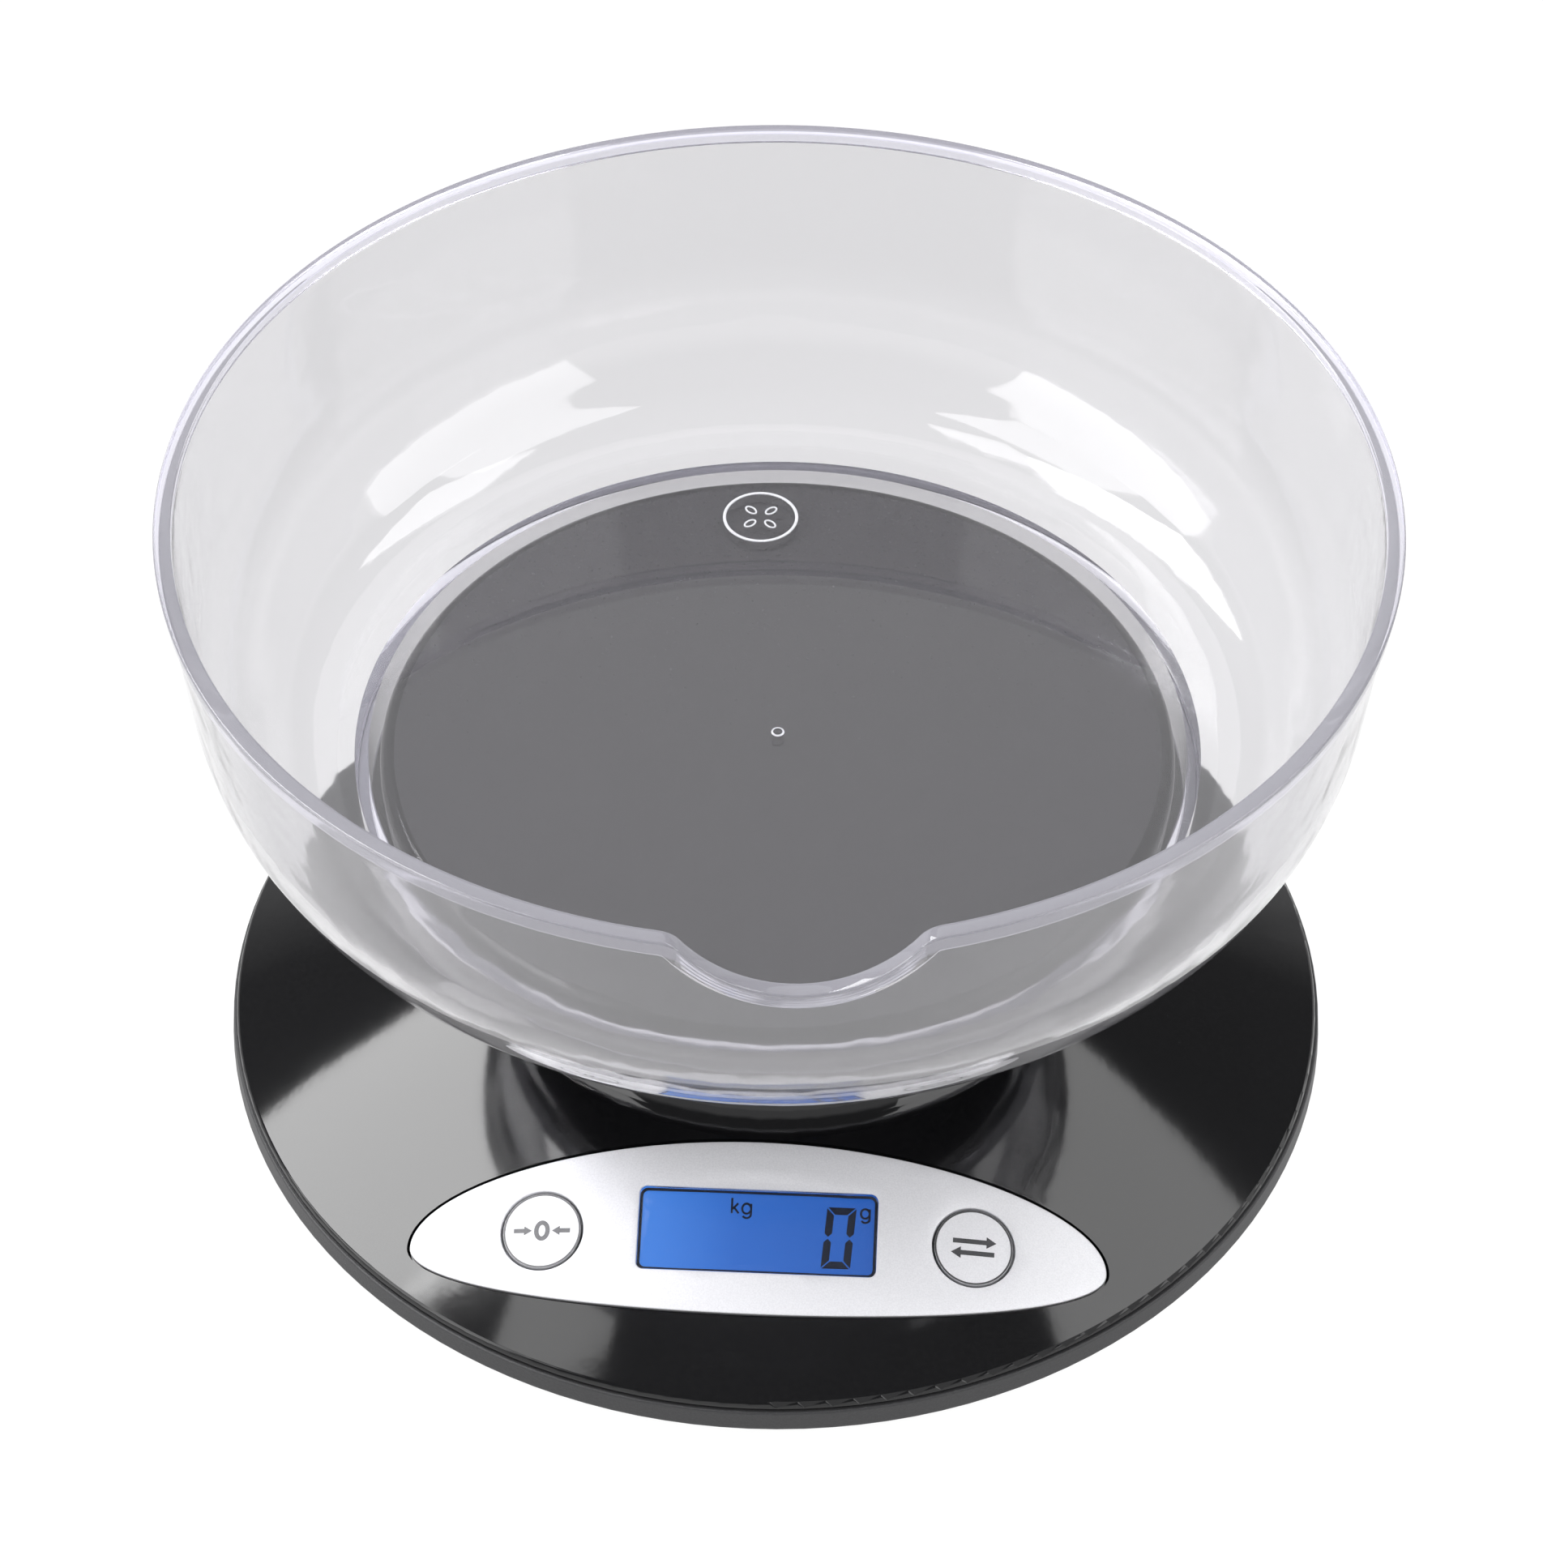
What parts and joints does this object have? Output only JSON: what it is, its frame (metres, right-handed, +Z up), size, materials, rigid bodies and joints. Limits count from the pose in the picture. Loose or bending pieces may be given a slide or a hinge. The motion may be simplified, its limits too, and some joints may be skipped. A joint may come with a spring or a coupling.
{
  "type": "kitchen scale",
  "caption": "Round electronic kitchen scale: black pedestal base with silver display panel and two keys, weighing platform and clear lift-off bowl with a pouring notch.",
  "frame": {"origin": "centre of the base on the surface its feet stand on", "axes": "+Z up, -Y towards the display and keys at the front, +X to the right seen from the front"},
  "size_m": [0.2074, 0.2069, 0.1244],
  "materials": {
    "gloss_black": "polished",
    "matte_black": "fine spark texture",
    "platform_black": "satin",
    "clear_plastic": "polished clear plastic",
    "silver_paint": "satin silver paint on plastic",
    "window_clear": "clear plastic window",
    "lcd_blue": "backlit display glass",
    "light_guide": "diffusing light guide",
    "inner_plastic": "moulded plastic",
    "foot_rubber": "matt rubber",
    "screw_steel": "zinc plated",
    "contact_metal": "nickel plated spring steel",
    "battery_can": "plain printed sleeve",
    "cell_aluminium": "milled",
    "gauge_coating": "white silicone coating",
    "wire_sleeve": "insulated wire bundle",
    "connector_rubber": "striped conductive rubber",
    "board_green": "solder mask on fibreglass",
    "chip_black": "moulded electronic parts"
  },
  "bodies": {
    "base": {"upper_housing": "gloss_black", "lower_housing": "matte_black", "housing_screws": "screw_steel", "foot_front_left": "foot_rubber", "foot_front_right": "foot_rubber", "foot_back_left": "foot_rubber", "foot_back_right": "foot_rubber", "battery_1": "battery_can", "battery_2": "battery_can", "battery_spring_contacts": "contact_metal", "battery_plate_contacts": "contact_metal", "load_cell": "cell_aluminium", "strain_gauge_covers": "gauge_coating", "load_cell_base_screws": "screw_steel", "load_cell_wires": "wire_sleeve", "battery_wires": "wire_sleeve", "display_panel": "silver_paint", "lcd_window": "window_clear", "lcd_glass": "lcd_blue", "lcd_backlight": "light_guide", "lcd_holder": "inner_plastic", "lcd_connector": "connector_rubber", "main_board": "board_green", "board_screws": "screw_steel", "board_parts": "chip_black", "tare_switch_body": "chip_black", "mode_switch_body": "chip_black"},
    "platform": {"platform": "platform_black", "platform_carrier": "inner_plastic", "platform_screws": "screw_steel", "load_cell_spacer": "cell_aluminium", "load_cell_top_screws": "screw_steel"},
    "bowl": {"bowl": "clear_plastic", "bowl_foot_ring": "clear_plastic"},
    "battery_door": {"battery_door": "matte_black"},
    "tare_button": {"tare_button": "silver_paint", "tare_switch_stem": "inner_plastic"},
    "mode_button": {"mode_button": "silver_paint", "mode_switch_stem": "inner_plastic"}
  },
  "joints": [
    {"name": "platform_press", "type": "slide", "parent": "base", "child": "platform", "axis": [0, 0, -1], "range_m": [0, 0.0005], "stiffness_N_per_m": 60000, "deforming": ["load_cell"]},
    {"name": "bowl_lift", "type": "slide", "parent": "platform", "child": "bowl", "axis": [0, 0, 1], "range_m": [0, 0.09]},
    {"name": "tare_press", "type": "slide", "parent": "base", "child": "tare_button", "axis": [0, 0.3746, -0.9272], "range_m": [0, 0.0004], "stiffness_N_per_m": 1500},
    {"name": "mode_press", "type": "slide", "parent": "base", "child": "mode_button", "axis": [0, 0.3746, -0.9272], "range_m": [0, 0.0004], "stiffness_N_per_m": 1500},
    {"name": "battery_door_hinge", "type": "hinge", "parent": "base", "child": "battery_door", "pos_m": [0, 0.0595, 0.003], "axis": [1, 0, 0], "range_deg": [0, 75]}
  ]
}
